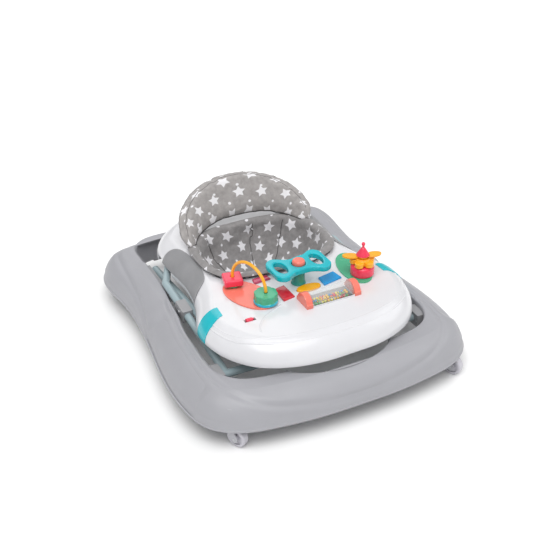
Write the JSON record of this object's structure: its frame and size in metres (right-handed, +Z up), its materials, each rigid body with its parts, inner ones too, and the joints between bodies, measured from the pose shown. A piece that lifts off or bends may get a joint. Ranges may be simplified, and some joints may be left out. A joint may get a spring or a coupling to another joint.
{
  "type": "baby walker",
  "caption": "Folding baby walker: a wavy grey base ring on swivel casters, a scissor frame, and a white toy tray with a padded star-print seat.",
  "frame": {"origin": "on the floor under the middle of the base ring", "axes": "+Z up, -Y towards the toy end that the child faces, +X to the right seen from the toy end"},
  "size_m": [0.6026, 0.7001, 0.27],
  "materials": {
    "ring_grey": "matte",
    "bracket_grey": "matte",
    "steel": "satin",
    "pad_rubber": "matte",
    "caster_plastic": "satin",
    "wheel_plastic": "gloss",
    "tube_paint": "satin",
    "glide_nylon": "satin",
    "tray_white": "gloss",
    "housing_white": "matte",
    "insert_grey": "matte",
    "teal": "gloss",
    "teal_green": "gloss",
    "coral": "gloss",
    "green": "gloss",
    "yellow": "gloss",
    "red": "gloss",
    "orange": "gloss",
    "blue": "gloss",
    "clear": "gloss",
    "bead_mix": "gloss",
    "board": "matte",
    "speaker_black": "matte",
    "battery": "satin",
    "seat_fabric": "woven"
  },
  "bodies": {
    "base": {"base_ring": "ring_grey", "front_bracket_left": "bracket_grey", "front_bracket_right": "bracket_grey", "base_rail_left": "bracket_grey", "base_rail_right": "bracket_grey", "bracket_screws": "steel", "stopper_pads": "pad_rubber"},
    "caster_front_left": {"caster_fork_front_left": "caster_plastic", "caster_axle_front_left": "steel"},
    "wheel_front_left": {"caster_wheel_front_left": "wheel_plastic"},
    "caster_front_right": {"caster_fork_front_right": "caster_plastic", "caster_axle_front_right": "steel"},
    "wheel_front_right": {"caster_wheel_front_right": "wheel_plastic"},
    "caster_rear_left": {"caster_fork_rear_left": "caster_plastic", "caster_axle_rear_left": "steel"},
    "wheel_rear_left": {"caster_wheel_rear_left": "wheel_plastic"},
    "caster_rear_right": {"caster_fork_rear_right": "caster_plastic", "caster_axle_rear_right": "steel"},
    "wheel_rear_right": {"caster_wheel_rear_right": "wheel_plastic"},
    "lower_legs": {"lower_leg_frame": "tube_paint", "pivot_block_left": "bracket_grey", "pivot_block_right": "bracket_grey", "lower_leg_glides": "glide_nylon"},
    "upper_legs": {"upper_leg_frame": "tube_paint", "centre_rivets": "steel", "upper_leg_glides": "glide_nylon"},
    "tray": {"tray_shell": "tray_white", "side_insert_left": "insert_grey", "side_insert_right": "insert_grey", "corner_bands": "teal", "tray_brackets": "bracket_grey", "tray_rail_left": "bracket_grey", "tray_rail_right": "bracket_grey", "toy_housing": "housing_white", "battery_cover": "housing_white", "batteries": "battery", "circuit_board": "board", "speaker": "speaker_black", "seat_sling": "seat_fabric", "back_pad": "seat_fabric", "coral_plate": "coral", "green_plate": "green", "bead_arch": "yellow", "steering_column": "teal_green", "rattle_cradle": "coral"},
    "square_bead": {"square_bead": "red"},
    "flower_bead": {"flower_bead": "green"},
    "steering_wheel": {"steering_wheel": "teal"},
    "horn_button": {"horn_button": "coral"},
    "red_key": {"red_key": "red"},
    "small_red_key": {"small_red_key": "red"},
    "orange_key": {"orange_key": "orange"},
    "blue_key": {"blue_key": "blue"},
    "mode_switch": {"mode_switch": "red"},
    "rattle": {"rattle_tube": "clear", "rattle_beads": "bead_mix"},
    "spinner_drum": {"spinner_drum": "red"},
    "spinner_flower": {"spinner_flower": "yellow"},
    "leaf_paddles": {"leaf_paddles": "yellow"},
    "cone_cap": {"cone_cap": "red"}
  },
  "joints": [
    {"name": "swivel_front_left", "type": "hinge", "parent": "base", "child": "caster_front_left", "pos_m": [-0.236, -0.289, 0.05], "axis": [0, 0, 1], "continuous": true},
    {"name": "roll_front_left", "type": "hinge", "parent": "caster_front_left", "child": "wheel_front_left", "pos_m": [-0.22964, -0.30147, 0.02], "axis": [0.891, 0.454, 0], "continuous": true},
    {"name": "swivel_front_right", "type": "hinge", "parent": "base", "child": "caster_front_right", "pos_m": [0.236, -0.289, 0.05], "axis": [0, 0, 1], "continuous": true},
    {"name": "roll_front_right", "type": "hinge", "parent": "caster_front_right", "child": "wheel_front_right", "pos_m": [0.24236, -0.30147, 0.02], "axis": [0.891, 0.454, 0], "continuous": true},
    {"name": "swivel_rear_left", "type": "hinge", "parent": "base", "child": "caster_rear_left", "pos_m": [-0.242, 0.288, 0.05], "axis": [0, 0, 1], "continuous": true},
    {"name": "roll_rear_left", "type": "hinge", "parent": "caster_rear_left", "child": "wheel_rear_left", "pos_m": [-0.242, 0.274, 0.02], "axis": [1, 0, 0], "continuous": true},
    {"name": "swivel_rear_right", "type": "hinge", "parent": "base", "child": "caster_rear_right", "pos_m": [0.242, 0.288, 0.05], "axis": [0, 0, 1], "continuous": true},
    {"name": "roll_rear_right", "type": "hinge", "parent": "caster_rear_right", "child": "wheel_rear_right", "pos_m": [0.242, 0.274, 0.02], "axis": [1, 0, 0], "continuous": true},
    {"name": "fold", "type": "hinge", "parent": "base", "child": "lower_legs", "pos_m": [0, -0.195, 0.079], "axis": [1, 0, 0], "range_deg": [0, 37]},
    {"name": "leg_cross", "type": "hinge", "parent": "lower_legs", "child": "upper_legs", "pos_m": [0, 0.0075, 0.1], "axis": [1, 0, 0], "range_deg": [-74, 0]},
    {"name": "tray_level", "type": "hinge", "parent": "upper_legs", "child": "tray", "pos_m": [0, -0.195, 0.121], "axis": [1, 0, 0], "range_deg": [0, 37]},
    {"name": "square_bead_turn", "type": "hinge", "parent": "tray", "child": "square_bead", "pos_m": [-0.117, -0.046, 0.175], "axis": [0, 0, 1], "continuous": true},
    {"name": "flower_bead_turn", "type": "hinge", "parent": "tray", "child": "flower_bead", "pos_m": [-0.086, -0.13, 0.175], "axis": [0, 0, 1], "continuous": true},
    {"name": "steer", "type": "hinge", "parent": "tray", "child": "steering_wheel", "pos_m": [0.004, -0.093, 0.2], "axis": [0, 0, 1], "range_deg": [-60, 60]},
    {"name": "horn_press", "type": "slide", "parent": "steering_wheel", "child": "horn_button", "axis": [0, 0, -1], "range_m": [0, 0.002], "stiffness_N_per_m": 300, "springref_m": -0.002},
    {"name": "red_key_press", "type": "slide", "parent": "tray", "child": "red_key", "axis": [0, 0, -1], "range_m": [0, 0.002], "stiffness_N_per_m": 400, "springref_m": -0.002},
    {"name": "small_red_key_press", "type": "slide", "parent": "tray", "child": "small_red_key", "axis": [0, 0, -1], "range_m": [0, 0.002], "stiffness_N_per_m": 400, "springref_m": -0.002},
    {"name": "orange_key_press", "type": "slide", "parent": "tray", "child": "orange_key", "axis": [0, 0, -1], "range_m": [0, 0.002], "stiffness_N_per_m": 400, "springref_m": -0.002},
    {"name": "blue_key_press", "type": "slide", "parent": "tray", "child": "blue_key", "axis": [0, 0, -1], "range_m": [0, 0.002], "stiffness_N_per_m": 400, "springref_m": -0.002},
    {"name": "switch_slide", "type": "slide", "parent": "tray", "child": "mode_switch", "axis": [1, 0, 0], "range_m": [-0.003, 0.003]},
    {"name": "rattle_spin", "type": "hinge", "parent": "tray", "child": "rattle", "pos_m": [0.03, -0.166, 0.171], "axis": [1, 0, 0], "continuous": true},
    {"name": "spinner_drum_spin", "type": "hinge", "parent": "tray", "child": "spinner_drum", "pos_m": [0.132, -0.124, 0.178], "axis": [0, 0, 1], "continuous": true},
    {"name": "spinner_flower_spin", "type": "hinge", "parent": "tray", "child": "spinner_flower", "pos_m": [0.132, -0.124, 0.196], "axis": [0, 0, 1], "continuous": true},
    {"name": "leaf_paddles_spin", "type": "hinge", "parent": "tray", "child": "leaf_paddles", "pos_m": [0.132, -0.124, 0.206], "axis": [0, 0, 1], "continuous": true},
    {"name": "cone_cap_spin", "type": "hinge", "parent": "tray", "child": "cone_cap", "pos_m": [0.132, -0.124, 0.215], "axis": [0, 0, 1], "continuous": true}
  ],
  "couplings": [
    {"joint": "leg_cross", "follows": "fold", "ratio": -2},
    {"joint": "tray_level", "follows": "fold", "ratio": 1}
  ]
}
